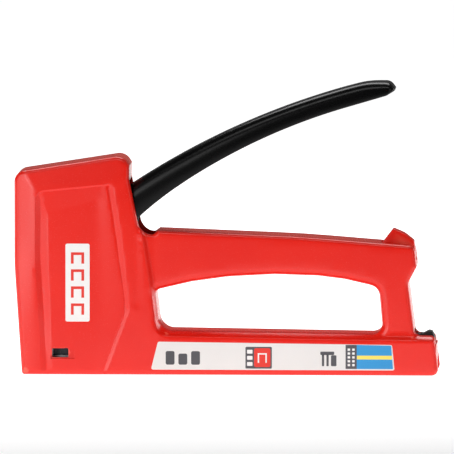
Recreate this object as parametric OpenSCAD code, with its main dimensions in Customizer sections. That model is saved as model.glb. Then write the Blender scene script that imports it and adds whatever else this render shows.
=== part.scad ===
// Hand staple gun: two casing halves around a spring-driven hammer, a long squeeze lever
// and a staple magazine that draws out to the rear.
// X runs along the tool from nose to tail, Y across it, Z up.
// The origin is the middle of the tool's footprint on the surface that it stands on.

/* [Casing] */
// Thickness of the casing walls
wall = 2.2; // [1.8:0.1:2.6]
// Half of the width over the head and the magazine beam
head_half = 15; // [14.8:0.1:16]
// Half of the width over the hand grip
grip_half = 13; // [12.8:0.1:13.4]
// Size of the step around the outer edges of the head and the beam
edge_step = 0.8; // [0.4:0.1:1]

/* [Lever] */
// Half of the width over the lever
lever_half = 11; // [10.6:0.1:11]
// Thickness of the lever's cheeks
lever_wall = 1.8; // [1.5:0.1:1.8]
// Thickness of the lever's back
lever_back = 2.2; // [1.8:0.1:2.6]
// Diameter of the pin that the lever turns on
pivot_d = 6; // [5:0.5:6]

/* [Hammer] */
// Half of the hammer's width
hammer_half = 7; // [6.6:0.1:7]
// Bore for the power spring
spring_bore_d = 10.4; // [10.2:0.1:10.6]
// Wire of the power spring
power_wire_d = 1.7; // [1.2:0.1:1.8]
// Turns of the power spring
power_turns = 11; // [8:1:13]
// Width of the driver blade, which matches the staple's crown
blade_w = 11.2; // [10.6:0.1:11.3]

/* [Magazine] */
// Inner width of the staple channel
channel_inner = 12.1; // [12:0.05:12.2]
// Width of the core that the staples straddle
core_w = 9.7; // [9.4:0.1:9.7]
// Thickness of the sheet steel in the magazine
sheet = 1; // [0.8:0.1:1]
// Turns of the pusher spring
pusher_turns = 36; // [20:1:40]

/* [Hidden] */

$fn = 48;
eps = 0.01;
slip = 0.05; // radial play of a pin in its hole

red = [0.88, 0.16, 0.12];
black = [0.06, 0.06, 0.07];
steel = [0.68, 0.69, 0.71];
dark_steel = [0.35, 0.35, 0.37];

// Corners of an outline are [x, z, radius], clockwise as seen from the left side of the tool.
casing_corners = [
    [-89.9, 0, 1.3], [-93.2, 48.2, 120], [-93.2, 89, 5], [-45.3, 96.5, 5.5], [-42.6, 92, 0.5],
    [-42.8, 86.5, 5], [-37.8, 61.9, 6.5], [-32.3, 61.7, 0.8], [-30.1, 63, 0.6], [33.6, 60.4, 500],
    [82.3, 56.7, 3], [83.1, 47.8, 1], [79.3, 40.5, 4], [82, 17.3, 3], [91.46, 17.1, 2],
    [93.585, 0, 3]
];
hole_corners = [
    [-29.3, 19.3, 6.5], [-31.3, 37, 2.6], [-15.2, 41.5, 160], [21.3, 45, 220],
    [52.1, 42.7, 110], [66.7, 38.5, 5], [68.6, 17.9, 4.5]
];
// The head and the beam, where the casing is wider than at the grip
broad_corners = concat(
    [for (i = [0:5]) casing_corners[i]],
    [[-38.3, 64, 2], [-34.6, 44, 60], [-30.9, 16.9, 5], [91.74, 14.9, 2], [93.585, 0, 3]]
);
panel_corners = [
    [-82.4, 14, 2], [-84.1, 45, 60], [-83.8, 81, 4], [-51.3, 84.2, 3], [-44.4, 28, 3], [-49.4, 14, 2]
];
stop_corners = [
    [68, 50, 0.5], [68, 57.6, 0.3], [72.4, 62.8, 0.8], [77.6, 60.8, 12], [81.7, 57.9, 1],
    [82.8, 50, 0.3]
];

// Lever outline: a long top arc, two lower arcs and a round root about the pivot
pivot = [-46.5, 70.5];
root_r = 8.1;
top_centre = [143.5, -199.3];
top_r = 338.1;
low_centre = [127.2, -136.6];
low_r = 265;
inner_centre = [64.9, -43.7];
inner_r = 153.1;
tip_corners = [[62, 128.8, 35], [71.8, 128.8, 4], [74.5, 125.4, 0.8], [70.3, 122.9, 2]];
top_end = 105.6;      // angle on the top arc where the tip starts
low_start = 106.1;    // angle on the lower arc where the tip ends
low_end = 123.2;      // angle where the lower arc meets the inner one
root_start = angle_of(pivot - top_centre);
reach = norm(pivot - inner_centre);
root_end = angle_of(inner_centre - pivot)
    + acos((reach ^ 2 + root_r ^ 2 - inner_r ^ 2) / (2 * reach * root_r));
inner_end = angle_of(pivot + root_r * dir(root_end) - inner_centre);
rivet_places = [[-33.5, 80.4], [-17, 91]];
rivet_r = 1.6;

// Hammer and striking line
hammer_x = -77.9;
hammer_front = -84.3;
hammer_back = -71.5;
hammer_foot = 42;
hammer_top = 70.8;
hammer_floor = 47.5;
blade_t = 1.2;
seat_z = 85.9;
seat_t = 2;
claw_reach = 28.5;
claw_dip = 15;        // degrees below level at rest
claw_r = 2.2;
claw = pivot - claw_reach * dir(claw_dip);
trunnion_r = 2;
trunnion = [-74.5, claw[1] + claw_r + trunnion_r + 0.4];
arm_in = hammer_half + 0.3;
arm_t = 1.8;

// Magazine
channel_front = -84.1;
channel_rear = 84;
channel_z = [1, 14];
core_z = [1, 12.2];
rod_z = 6.5;
rod_r = 1.5;
pusher_front = -83.7;
pusher_rear = -69.7;
cap_half = head_half - wall - 0.3;
window_x = [-76.5, -69.5];
window_z = [7.9, 11.4];
latch_pivot = [89.6, 9.5];
cap_pin_at = [channel_rear + 1.6, 9.6];
cap_top = 13.6;

// Screws hold the halves together: [x, z, outer face they sit in]
screw_places = [
    [-53, 88.6, head_half], [-55.4, 26, head_half], [-31, 48, grip_half],
    [30, 52.2, grip_half], [75.4, 30, grip_half]
];
screw_r = 1.5;
screw_head_r = 3;
boss_r = 3.6;
dowel_places = [[-37.5, 40], [8, 53], [74.6, 42]];
dowel_r = 1.5;

function dir(angle) = [cos(angle), sin(angle)];
function angle_of(v) = atan2(v[1], v[0]);
function along(from, to) = (to - from) / norm(to - from);
function place(corner) = [corner[0], corner[1]];
function turned(from, to) = (to - from + 540) % 360 - 180;
function arc(centre, radius, from, to, steps) =
    [for (i = [0:steps]) centre + radius * dir(from + (to - from) * i / steps)];

// Points of one rounded corner between its two neighbours
function corner_points(before, here, after, radius) =
    radius == 0 ? [here] :
    let (
        back = along(here, before),
        ahead = along(here, after),
        half = acos(back * ahead) / 2,
        centre = here + along([0, 0], back + ahead) * radius / sin(half),
        start = angle_of(here + back * radius / tan(half) - centre),
        end = angle_of(here + ahead * radius / tan(half) - centre),
        sweep = turned(start, end),
        steps = max(2, ceil(abs(sweep) / 18))
    )
    arc(centre, radius, start, start + sweep, steps);

function outline(corners) =
    let (n = len(corners))
    [for (i = [0:n - 1]) each corner_points(
        place(corners[(i + n - 1) % n]), place(corners[i]), place(corners[(i + 1) % n]), corners[i][2])];

// The same corners moved inwards by a distance, or outwards when it is negative
function inset(corners, distance) =
    let (n = len(corners), smallest = 0.05)
    [for (i = [0:n - 1])
        let (
            here = place(corners[i]),
            before = along(place(corners[(i + n - 1) % n]), here),
            after = along(here, place(corners[(i + 1) % n])),
            normal_before = [before[1], -before[0]],
            normal_after = [after[1], -after[0]],
            moved = here + distance * (normal_before + normal_after) / (1 + normal_before * normal_after),
            bulges = before[0] * after[1] - before[1] * after[0] < 0,
            radius = corners[i][2] == 0 ? 0 : max(smallest, corners[i][2] + (bulges ? -distance : distance))
        )
        [moved[0], moved[1], radius]];

function sharp(points) = [for (p = points) [p[0], p[1], 0]];

lever_corners = concat(
    sharp(arc(pivot, root_r, root_end, root_start - 360, 22)),
    sharp(arc(top_centre, top_r, root_start, top_end, 20)),
    tip_corners,
    sharp(arc(low_centre, low_r, low_start, low_end, 16)),
    sharp([for (i = [1:5]) inner_centre + inner_r * dir(low_end + (inner_end - low_end) * i / 6)])
);

// A flat outline in the XZ plane, made solid between two places along Y
module slab(points, y_from, y_to) {
    translate([0, y_to, 0])
        rotate([90, 0, 0])
            linear_extrude(height = y_to - y_from)
                polygon(points);
}

module block(x, y, z) {
    translate([x[0], y[0], z[0]])
        cube([x[1] - x[0], y[1] - y[0], z[1] - z[0]]);
}

module cross_rod(at, radius, y_from, y_to) {
    translate([at[0], y_from, at[1]])
        rotate([-90, 0, 0])
            cylinder(h = y_to - y_from, r = radius);
}

module long_rod(radius, y, z, x_from, x_to) {
    translate([x_from, y, z])
        rotate([0, 90, 0])
            cylinder(h = x_to - x_from, r = radius);
}

// A closed ring of triangular section that planes a 45 degree bevel on an outline's edge
module bevel_cutter(corners, half_width, bevel) {
    margin = 0.5;
    loops = [
        for (step = [[-margin, -bevel - margin], [bevel + margin, margin], [-margin, margin]])
            [for (p = outline(inset(corners, step[0]))) [p[0], half_width + step[1], p[1]]]
    ];
    n = len(loops[0]);
    polyhedron(
        points = [for (loop = loops) each loop],
        faces = [
            for (k = [0:2])
                for (i = [0:n - 1])
                    let (a = k * n + i, b = k * n + (i + 1) % n, c = ((k + 1) % 3) * n + (i + 1) % n,
                        d = ((k + 1) % 3) * n + i)
                    each [[a, b, c], [a, c, d]]
        ]
    );
}

// A wire wound about the Z axis from z = 0 up to its length
module coil(coil_r, wire_r, length, turns, steps, sides) {
    rise = (length - 2 * wire_r) / (turns * steps);
    rings = turns * steps;
    polyhedron(
        points = [
            for (k = [0:rings])
                for (s = [0:sides - 1])
                    let (r = coil_r + wire_r * cos(360 * s / sides), a = 360 * k / steps)
                    [r * cos(a), r * sin(a), wire_r + k * rise + wire_r * sin(360 * s / sides)]
        ],
        faces = concat(
            [[for (s = [0:sides - 1]) s]],
            [[for (s = [0:sides - 1]) rings * sides + sides - 1 - s]],
            [for (k = [0:rings - 1])
                for (s = [0:sides - 1])
                    let (a = k * sides + s, b = k * sides + (s + 1) % sides)
                    each [[a, a + sides, b + sides], [a, b + sides, b]]]
        )
    );
}

// Flat loops inside each other, made solid between two places along Y: each loop turns solid
// into open or open into solid
module nested_slab(loops, y_from, y_to) {
    counts = [for (loop = loops) len(loop)];
    starts = [
        for (k = [0:len(loops) - 1])
            k == 0 ? 0 : counts[0] + (k > 1 ? counts[1] : 0) + (k > 2 ? counts[2] : 0)
    ];
    translate([0, y_to, 0])
        rotate([90, 0, 0])
            linear_extrude(height = y_to - y_from)
                polygon(
                    points = [for (loop = loops) each loop],
                    paths = [for (k = [0:len(loops) - 1]) [for (i = [0:counts[k] - 1]) starts[k] + i]]
                );
}

// One half without its ribs, as layers from the parting plane outwards
module casing_layers() {
    full = outline(casing_corners);
    hole = outline(hole_corners);
    deep = outline(inset(broad_corners, wall));
    grip_inner = grip_half - wall;
    head_inner = head_half - wall;
    union() {
        nested_slab([full, outline(inset(casing_corners, wall)), outline(inset(hole_corners, -wall)), hole],
            0, grip_inner);
        nested_slab([full, hole, deep], grip_inner, head_inner);
        nested_slab([full, hole], head_inner, grip_half);
        slab(outline(broad_corners), grip_half, head_half - edge_step);
        nested_slab([outline(inset(broad_corners, edge_step)), outline(panel_corners)],
            head_half - edge_step, head_half);
    }
}

// Everything that opens the casing for the lever, the stop, the magazine and the window
module casing_openings() {
    slot_half = lever_half + 0.4;
    stop_half = 5.1;
    block([-60, -31.3], [-1, slot_half], [57, 85.6]);
    block([67.8, 90], [-1, stop_half], [46, 70]);
    block([-88, channel_rear], [-1, channel_inner / 2 + sheet + 0.1], [-1, 3]);
    block([-87.5, channel_front], [-1, 9.2], [-1, 3]);
    block([82.6, 100], [-1, head_half - wall], [-1, cap_top + 0.2]);
    block([79, 100], [-1, 5.8], [12, 20]);
    block(window_x, [8, head_half + 1], window_z);
}

// Ribs and bosses inside one half
module casing_ribs() {
    inner = head_half - wall + 0.3;
    grip_inner = grip_half - wall + 0.3;
    channel_half = channel_inner / 2 + sheet;
    top = channel_z[1];
    // Ledge over the magazine channel and ribs beside it
    block([-82.5, 79.5], [0, inner], [top, top + 1.8]);
    for (x = [-52, -18, 18, 52, 76])
        block([x - 1, x + 1], [channel_half, inner], [1.5, top + 0.5]);
    // Shelf for the bumper, guides beside the hammer, rests for the spring seat
    block([-83.8, -69], [0, inner], [34, 36.4]);
    block([-83.8, -79.6], [hammer_half + 0.1, inner], [43.5, 84]);
    slab([[-84.6, seat_z + seat_t], [-84.6, seat_z + seat_t + 1.4], [-71.2, seat_z + seat_t + 3.4],
        [-71.2, seat_z + seat_t]], 3, inner);
    for (z = [44, 72])
        block([-91.5, hammer_front - blade_t - 0.2], [0, inner], [z, z + 2]);
    // Ribs before and behind the nose plate
    for (z = [10, 24])
        block([-89, -87.25], [0, inner], [z, z + 2]);
    block([-85.7, -83.5], [7.3, inner], [3, 28]);
    // Bearings for the lever's pin
    cross_rod(pivot, pivot_d / 2 + 3, lever_half + 0.4, inner);
    for (s = screw_places)
        cross_rod(s, boss_r, 0, (s[2] == head_half ? inner : grip_inner));
    for (d = dowel_places)
        cross_rod(d, dowel_r + 1.6, 0, grip_inner);
}

module casing_half() {
    difference() {
        union() {
            casing_layers();
            casing_ribs();
        }
        casing_openings();
        cross_rod(pivot, pivot_d / 2 + slip, -1, head_half - 1.4);
        for (d = dowel_places)
            cross_rod(d, dowel_r + slip, -1, 6);
    }
}

module housing_left() {
    color(red)
        mirror([0, 1, 0])
            difference() {
                casing_half();
                for (s = screw_places)
                    cross_rod(s, screw_r + slip, -1, 8.1);
            }
}

module housing_right() {
    color(red)
        difference() {
            casing_half();
            for (s = screw_places) {
                cross_rod(s, screw_r + slip, -1, s[2] + 1);
                cross_rod(s, screw_head_r + 0.2, s[2] - 3.5, s[2] + 1);
            }
        }
}

module housing_screws() {
    color(dark_steel)
        for (s = screw_places)
            difference() {
                union() {
                    cross_rod(s, screw_r, -8, s[2] - 3.4);
                    cross_rod(s, screw_head_r, s[2] - 3.5, s[2] - 1.2);
                }
                for (turn = [0, 90])
                    translate([s[0], s[2] - 1.9, s[1]])
                        rotate([0, turn, 0])
                            translate([-1.6, 0, -0.3])
                                cube([3.2, 2, 0.6]);
            }
}

module locating_pins() {
    color(steel)
        for (d = dowel_places)
            cross_rod(d, dowel_r, -5.8, 5.8);
}

// Raised rest on the grip that slips into the lever's channel when the lever is closed
module lever_stop() {
    color(red)
        union() {
            slab(outline(stop_corners), -5, 5);
            block([69, 79.5], [-8, 8], [50.2, 53.2]);
        }
}

module side_labels() {
    label_corners = [[-33, 2.4, 0.8], [-29.9, 14.7, 0.8], [72.9, 13, 0.8], [74.1, 2.4, 0.8]];
    label_t = 0.15;
    color([0.95, 0.95, 0.94])
        for (side = [0, 1])
            mirror([0, side, 0])
                slab(outline(label_corners), head_half, head_half + label_t);
}

module head_badges() {
    badge_corners = [[-70.6, 23.4, 1], [-70.6, 57.7, 1], [-60, 57.7, 1], [-60, 23.4, 1]];
    badge_t = 0.15;
    color([0.95, 0.95, 0.94])
        for (side = [0, 1])
            mirror([0, side, 0])
                slab(outline(badge_corners), head_half - edge_step, head_half - edge_step + badge_t);
}

module lever_pin() {
    color(steel)
        cross_rod(pivot, pivot_d / 2, -head_half + 1.5, head_half - 1.5);
}

module pivot_washers() {
    color(steel)
        for (side = [0, 1])
            mirror([0, side, 0])
                difference() {
                    cross_rod(pivot, pivot_d / 2 + 2.5, lever_half + 0.05, lever_half + 0.35);
                    cross_rod(pivot, pivot_d / 2 + slip, lever_half - 1, lever_half + 1);
                }
}

// Moulded lever: two cheeks and a back, open underneath
module lever_handle() {
    channel_corners = concat(
        sharp(arc(top_centre, top_r - lever_back, root_start + 4, 104.2, 20)),
        [[72.3, 124.5, 1.5], [72.3, 60, 0], [-80, 60, 0]]
    );
    color(black)
        difference() {
            slab(outline(lever_corners), -lever_half, lever_half);
            slab(outline(channel_corners), -lever_half + lever_wall, lever_half - lever_wall);
            // Way out for the arms at the root
            block([-60, -49.6], [-lever_half + lever_wall, lever_half - lever_wall], [62, 75.5]);
            for (side = [0, 1])
                mirror([0, side, 0])
                    bevel_cutter(lever_corners, lever_half, 1.2);
            cross_rod(pivot, pivot_d / 2 + slip, -20, 20);
            for (r = rivet_places)
                cross_rod(r, rivet_r + slip, -lever_half + 0.7, lever_half - 0.7);
        }
}

// Steel fork inside the lever: two arms that reach forward to claws under the hammer's pins
module lever_arm() {
    color(steel)
        difference() {
            union() {
                for (side = [0, 1])
                    mirror([0, side, 0])
                        arm_plate();
                // Bridge that ties the two arms together
                translate([rivet_places[0][0], -arm_in - 0.5, rivet_places[0][1]])
                    rotate([0, -33, 0])
                        translate([3, 0, 1.7])
                            cube([11, 2 * arm_in + 1, 1.4]);
            }
            cross_rod(pivot, pivot_d / 2 + slip, -20, 20);
            for (r = rivet_places)
                cross_rod(r, rivet_r + slip, -20, 20);
        }
}

module arm_plate() {
    translate([0, arm_in + arm_t, 0])
        rotate([90, 0, 0])
            linear_extrude(height = arm_t) {
                hull() {
                    translate(claw)
                        circle(r = claw_r);
                    translate(pivot)
                        circle(r = 5.7);
                }
                hull() {
                    translate(pivot)
                        circle(r = 5.7);
                    translate(rivet_places[0])
                        circle(r = 4.6);
                }
                hull() {
                    translate(rivet_places[0])
                        circle(r = 4.6);
                    translate(rivet_places[1])
                        circle(r = 4);
                }
            }
}

module lever_rivets() {
    color(steel)
        for (r = rivet_places)
            cross_rod(r, rivet_r, -lever_half + 0.8, lever_half - 0.8);
}

// Torsion spring wound round the lever's pin
module lever_return_spring() {
    coil_r = 4.6;
    wire_r = 0.6;
    length = 6.4;
    color(dark_steel)
        translate([pivot[0], -length / 2, pivot[1]])
            rotate([-90, 0, 0])
                coil(coil_r, wire_r, length, 4, 16, 6);
}

module spring_seat() {
    color(dark_steel)
        union() {
            block([-84.2, -71.6], [-hammer_half, hammer_half], [seat_z, seat_z + seat_t]);
            translate([hammer_x, 0, seat_z - 4])
                cylinder(h = 4 + eps, r = 3);
        }
}

module power_spring() {
    color(steel)
        translate([hammer_x, 0, hammer_floor + 0.1])
            coil((spring_bore_d - 0.6 - power_wire_d) / 2, power_wire_d / 2,
                seat_z - hammer_floor - 0.2, power_turns, 14, 7);
}

// Steel striker: a block bored from above for the power spring
module hammer() {
    color(dark_steel)
        difference() {
            block([hammer_front, hammer_back], [-hammer_half, hammer_half], [hammer_foot, hammer_top]);
            translate([hammer_x, 0, hammer_floor])
                cylinder(h = 40, r = spring_bore_d / 2);
            for (side = [0, 1])
                mirror([0, side, 0])
                    cross_rod(trunnion, trunnion_r + slip, 5.3, 10);
            for (y = [-3, 3])
                long_rod(1.25 + slip, y, 45, hammer_front - 1, hammer_front + 4);
        }
}

module hammer_pins() {
    color(steel)
        for (side = [0, 1])
            mirror([0, side, 0])
                cross_rod(trunnion, trunnion_r, 5.4, arm_in + arm_t + 0.6);
}

module driver_blade() {
    color(steel)
        difference() {
            block([hammer_front - blade_t, hammer_front], [-blade_w / 2, blade_w / 2], [1, 52]);
            for (y = [-3, 3])
                long_rod(1.25 + slip, y, 45, hammer_front - 3, hammer_front + 3);
        }
}

module blade_rivets() {
    color(steel)
        for (y = [-3, 3])
            long_rod(1.25, y, 45, hammer_front - blade_t, hammer_front + 3.8);
}

module bumper() {
    color([0.12, 0.12, 0.12])
        block([-84.1, hammer_back], [-10, 10], [36.4, hammer_foot - 0.1]);
}

// Front guide of the driver blade
module nose_plate() {
    color(steel)
        block([-87.2, -85.8], [-9, 9], [0.4, 30]);
}

// Fixed steel channel, open underneath, that the magazine slides in
module magazine_channel() {
    half = channel_inner / 2 + sheet;
    color(steel)
        difference() {
            block([channel_front, channel_rear], [-half, half], channel_z);
            block([channel_front - 1, channel_rear + 1], [-channel_inner / 2, channel_inner / 2],
                [channel_z[0] - 1, channel_z[1] - sheet]);
            block(window_x, [-half - 1, half + 1], window_z);
        }
}

module magazine_core() {
    color(steel)
        difference() {
            block([channel_front + 0.1, channel_rear + 3], [-core_w / 2, core_w / 2], core_z);
            block([channel_front + 1.6, channel_rear + 5], [-core_w / 2 + sheet, core_w / 2 - sheet],
                [core_z[0] + sheet, core_z[1] + 1]);
            cross_rod(cap_pin_at, 1 + slip, -10, 10);
            long_rod(rod_r + slip, 0, rod_z, channel_front - 1, channel_front + 3);
        }
}

module guide_rod() {
    color(steel)
        long_rod(rod_r, 0, rod_z, channel_front + 0.2, channel_rear + 2.4);
}

// Pusher: a foot on the guide rod inside the core and a saddle over it
module pusher() {
    saddle_half = channel_inner / 2 - 0.3;
    color(dark_steel)
        difference() {
            block([pusher_front, pusher_rear], [-saddle_half, saddle_half], [4.5, 12.9]);
            for (side = [0, 1])
                mirror([0, side, 0])
                    block([pusher_front - 1, pusher_rear + 1],
                        [core_w / 2 - sheet - 0.1, core_w / 2 + 0.1], [4, core_z[1] + 0.1]);
            block([pusher_front - 1, pusher_front + 1.9], [-core_w / 2, core_w / 2], [4, core_z[1] + 0.1]);
            long_rod(rod_r + slip, 0, rod_z, pusher_front - 1, pusher_rear + 1);
        }
}

module pusher_spring() {
    color(steel)
        translate([pusher_rear + 0.1, 0, rod_z])
            rotate([0, 90, 0])
                coil(2.7, 0.4, channel_rear - pusher_rear - 0.4, pusher_turns, 8, 5);
}

// Moulded cap that closes the tail and carries the magazine core
module rear_cap() {
    color(red)
        difference() {
            block([channel_rear + 0.2, 92.4], [-cap_half, cap_half], [0.6, cap_top]);
            // Seat for the core, well for the latch's leg and room for the leaf spring
            block([channel_rear - 1, channel_rear + 3.1], [-core_w / 2 - 0.05, core_w / 2 + 0.05],
                [0, core_z[1] + 0.1]);
            block([87.9, 91.4], [-4.6, 4.6], [6.4, 20]);
            block([channel_rear - 1, 88], [-4.6, 4.6], [core_z[1] + 0.7, 20]);
            cross_rod(cap_pin_at, 1 + slip, -20, 20);
            cross_rod(latch_pivot, 1 + slip, -20, 20);
        }
}

module cap_pin() {
    color(steel)
        cross_rod(cap_pin_at, 1, -cap_half + 0.2, cap_half - 0.2);
}

// Thumb latch on top of the rear cap, with a tongue that reaches into the casing
module latch() {
    pad = [
        [83.2, 15.3, 0], [83.2, 17.6, 0.5], [86.6, 18.2, 2], [88.8, 19.1, 1], [90.4, 18.8, 0.9],
        [91.4, 16.4, 0.8], [91.4, 14.4, 0], [86.5, 14.4, 0]
    ];
    color(black)
        difference() {
            union() {
                slab(outline(pad), -5.4, 5.4);
                block([80.6, 83.4], [-5, 5], [15.4, 17.4]);
                block([88.5, 91], [-4.4, 4.4], [8, 14.5]);
            }
            cross_rod(latch_pivot, 1 + slip, -20, 20);
        }
}

module latch_pin() {
    color(steel)
        cross_rod(latch_pivot, 1, -cap_half + 0.2, cap_half - 0.2);
}

// Bent leaf between the cap and the latch's pad
module latch_spring() {
    leaf_t = 0.3;
    leaf_low = core_z[1] + 0.75;
    color(steel)
        slab([[84.6, 14.3], [84.6, 14.3 - leaf_t], [88.2, leaf_low], [88.2, leaf_low + leaf_t]], -3, 3);
}

housing_left();
housing_right();
housing_screws();
locating_pins();
lever_stop();
side_labels();
head_badges();
lever_pin();
pivot_washers();
lever_handle();
lever_arm();
lever_rivets();
lever_return_spring();
spring_seat();
power_spring();
hammer();
hammer_pins();
driver_blade();
blade_rivets();
bumper();
nose_plate();
magazine_channel();
magazine_core();
guide_rod();
pusher();
pusher_spring();
rear_cap();
cap_pin();
latch();
latch_pin();
latch_spring();
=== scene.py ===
import math

import bmesh
import bpy
import numpy as np
from mathutils import Matrix, Vector
from mathutils.geometry import delaunay_2d_cdt


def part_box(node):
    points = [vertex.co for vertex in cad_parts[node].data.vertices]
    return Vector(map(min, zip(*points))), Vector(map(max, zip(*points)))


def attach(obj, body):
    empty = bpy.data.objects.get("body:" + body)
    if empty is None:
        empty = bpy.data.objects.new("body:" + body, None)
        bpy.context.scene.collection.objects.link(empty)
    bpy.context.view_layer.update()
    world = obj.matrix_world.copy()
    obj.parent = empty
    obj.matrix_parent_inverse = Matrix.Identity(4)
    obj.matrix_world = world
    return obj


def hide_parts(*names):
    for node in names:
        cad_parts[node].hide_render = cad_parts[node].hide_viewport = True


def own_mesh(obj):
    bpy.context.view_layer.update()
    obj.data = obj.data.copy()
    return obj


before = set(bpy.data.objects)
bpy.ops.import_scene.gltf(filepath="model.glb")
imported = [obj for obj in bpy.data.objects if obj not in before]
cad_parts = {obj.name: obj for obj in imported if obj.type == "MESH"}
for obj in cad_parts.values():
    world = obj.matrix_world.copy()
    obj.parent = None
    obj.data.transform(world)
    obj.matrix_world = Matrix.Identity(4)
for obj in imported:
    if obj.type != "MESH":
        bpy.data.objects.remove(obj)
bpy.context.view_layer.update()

MM = 0.001

# ---------------------------------------------------------------- outlines, in millimetres
# Corners are [x, z, radius], clockwise as seen from the tool's left side. They follow the CAD, except that
# the top of the grip, the hump and the rear post stand a little further out.
CASING = [
    [-89.9, 0, 1.3], [-93.2, 48.2, 120], [-93.2, 89, 5], [-45.3, 96.5, 5.5], [-42.6, 92, 0.5],
    [-42.8, 86.5, 5], [-37.8, 61.9, 6.5], [-32.3, 61.7, 0.8], [-30.1, 63.3, 0.6], [33.6, 60.8, 500],
    [82.6, 56.9, 3], [83.7, 47.8, 1], [79.9, 40.5, 4], [82.9, 17.3, 3], [91.46, 17.1, 2],
    [93.585, 0, 3],
]
HOLE = [
    [-29.3, 19.3, 6.5], [-31.3, 37, 2.6], [-15.2, 41.5, 160], [21.3, 45, 220],
    [52.1, 42.7, 110], [67, 38.5, 5], [68.9, 17.9, 4.5],
]
RELIEF = [
    [-30.9, 17, 5], [-34.6, 44, 60], [-37.5, 62, 0], [-39.5, 75, 0], [100, 75, 0], [100, 14.7, 0],
]
POCKET = [
    [-81.3, -3, 0], [-81.9, 15.9, 60], [-84.2, 50, 200], [-83.9, 80.9, 4.5], [-49.8, 84.3, 2.5],
    [-46.1, 62.5, 200], [-42.4, 28.5, 4], [-54, -3, 0],
]
STOP = [
    [68, 51, 0.5], [68.4, 58, 0.3], [73.1, 64, 0.8], [78, 62, 12], [82.3, 58.6, 1], [83.2, 51, 0.3],
]
HEAD_HALF, GRIP_HALF = 15.0, 13.0
WALL = 2.5
EDGE_R, HOLE_R, RELIEF_W = 1.9, 3.6, 2.6
PLATEAU, VALLEY, SHALLOW = 0.95, 1.9, 0.45

# The sunken panel's channel at the left turns into its sloping top between these two heights.
MITRE_FOOT, MITRE_HEAD = 70.2, 78.4

# Lines that give x at a height z, for np.interp
VALLEY_LINE = ([0, 23.4, 52.4, MITRE_HEAD], [-79.0, -80.1, -81.9, -81.7])
FLOOR_LEFT = ([0, 15.9, 44.9, MITRE_FOOT], [-76.2, -76.8, -78.0, -78.4])
FLOOR_RIGHT = ([0.9, 25.1, 27.6, 32, 41.4, 59.7, 74.4, 82.3],
               [-54.2, -45.1, -44.3, -44.3, -45.4, -48.3, -50.5, -51.6])
MITRE = ([MITRE_FOOT, MITRE_HEAD, 82], [-78.4, -81.7, -83.2])
PANEL_RIGHT = ([28.2, 37.9, 62.5, 81.5], [-42.7, -43.2, -46.1, -49.1])

# Lines that give the height z at a place x
CREASE = ([-78.4, -76.8, -66.6, -58.5, -55, -50], [70.6, 72.2, 74.4, 76.6, 75.7, 75.7])
POCKET_TOP = ([-84, -50], [80.9, 84.3])

# Widths and depths of the panel's slopes, the steepest slope at its rim, and the space between a fold and the
# mesh lines beside it
MITRE_HALF = ([MITRE_FOOT, MITRE_HEAD], [0.08, 0.6])
CHANNEL_WIDTH, BEVEL_WIDTH = 2.3, 2.2
TOP_DEPTH, RIM_SLOPE = 0.7, 0.8
STEP_WIDTH, STEP_DEPTH = 0.6, 0.3
FOLD_GAP = 0.15

# Outside the panel the head's side leans in: in front of FRONT_BAND_X, and above and behind the panel as far
# as HEAD_REAR_X. Each slope starts softly, over LEAN_START.
FRONT_BAND_X, HEAD_REAR_X, LEAN_START = -84.0, -38, 1.2

# Screw seats on the right half as (x, z, half width of the casing there)
SCREW_SEATS = [
    (-53, 88.6, HEAD_HALF), (-55.4, 26, HEAD_HALF), (-31, 48, GRIP_HALF), (30, 52.2, GRIP_HALF),
    (75.4, 30, GRIP_HALF),
]
SCREW_SEAT_R, SCREW_SEAT_DEPTH = 3.2, 3.5


def unit(v):
    return v / np.linalg.norm(v)


def outline(corners, degrees=7.5):
    """The closed outline of a corner table, with each corner as an arc."""
    points = []
    count = len(corners)
    for i, corner in enumerate(corners):
        here = np.array(corner[:2], float)
        radius = corner[2]
        back = unit(np.array(corners[i - 1][:2], float) - here)
        ahead = unit(np.array(corners[(i + 1) % count][:2], float) - here)
        if radius == 0:
            points.append(here)
            continue
        half = math.acos(max(-1.0, min(1.0, float(back @ ahead)))) / 2
        centre = here + unit(back + ahead) * radius / math.sin(half)
        first = here + back * radius / math.tan(half) - centre
        last = here + ahead * radius / math.tan(half) - centre
        start = math.atan2(first[1], first[0])
        sweep = (math.atan2(last[1], last[0]) - start + math.pi) % (2 * math.pi) - math.pi
        steps = max(2, math.ceil(abs(math.degrees(sweep)) / degrees))
        for k in range(steps + 1):
            angle = start + sweep * k / steps
            points.append(centre + radius * np.array([math.cos(angle), math.sin(angle)]))
    return np.array(points)


def inset(corners, distance):
    """The same corners moved inwards, or outwards when distance is negative."""
    moved = []
    count = len(corners)
    for i, corner in enumerate(corners):
        here = np.array(corner[:2], float)
        before = unit(here - np.array(corners[i - 1][:2], float))
        after = unit(np.array(corners[(i + 1) % count][:2], float) - here)
        n0 = np.array([before[1], -before[0]])
        n1 = np.array([after[1], -after[0]])
        place = here + distance * (n0 + n1) / (1 + n0 @ n1)
        bulges = before[0] * after[1] - before[1] * after[0] < 0
        radius = 0 if corner[2] == 0 else max(0.05, corner[2] + (-distance if bulges else distance))
        moved.append([place[0], place[1], radius])
    return moved


def distance_to(points, loop):
    """Distance from each point to a closed outline."""
    a = loop[None, :, :]
    b = np.roll(loop, -1, axis=0)[None, :, :]
    p = points[:, None, :]
    ab = b - a
    t = np.clip(((p - a) * ab).sum(2) / np.maximum((ab * ab).sum(2), 1e-12), 0, 1)
    return np.sqrt((((a + ab * t[..., None]) - p) ** 2).sum(2)).min(1)


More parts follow.
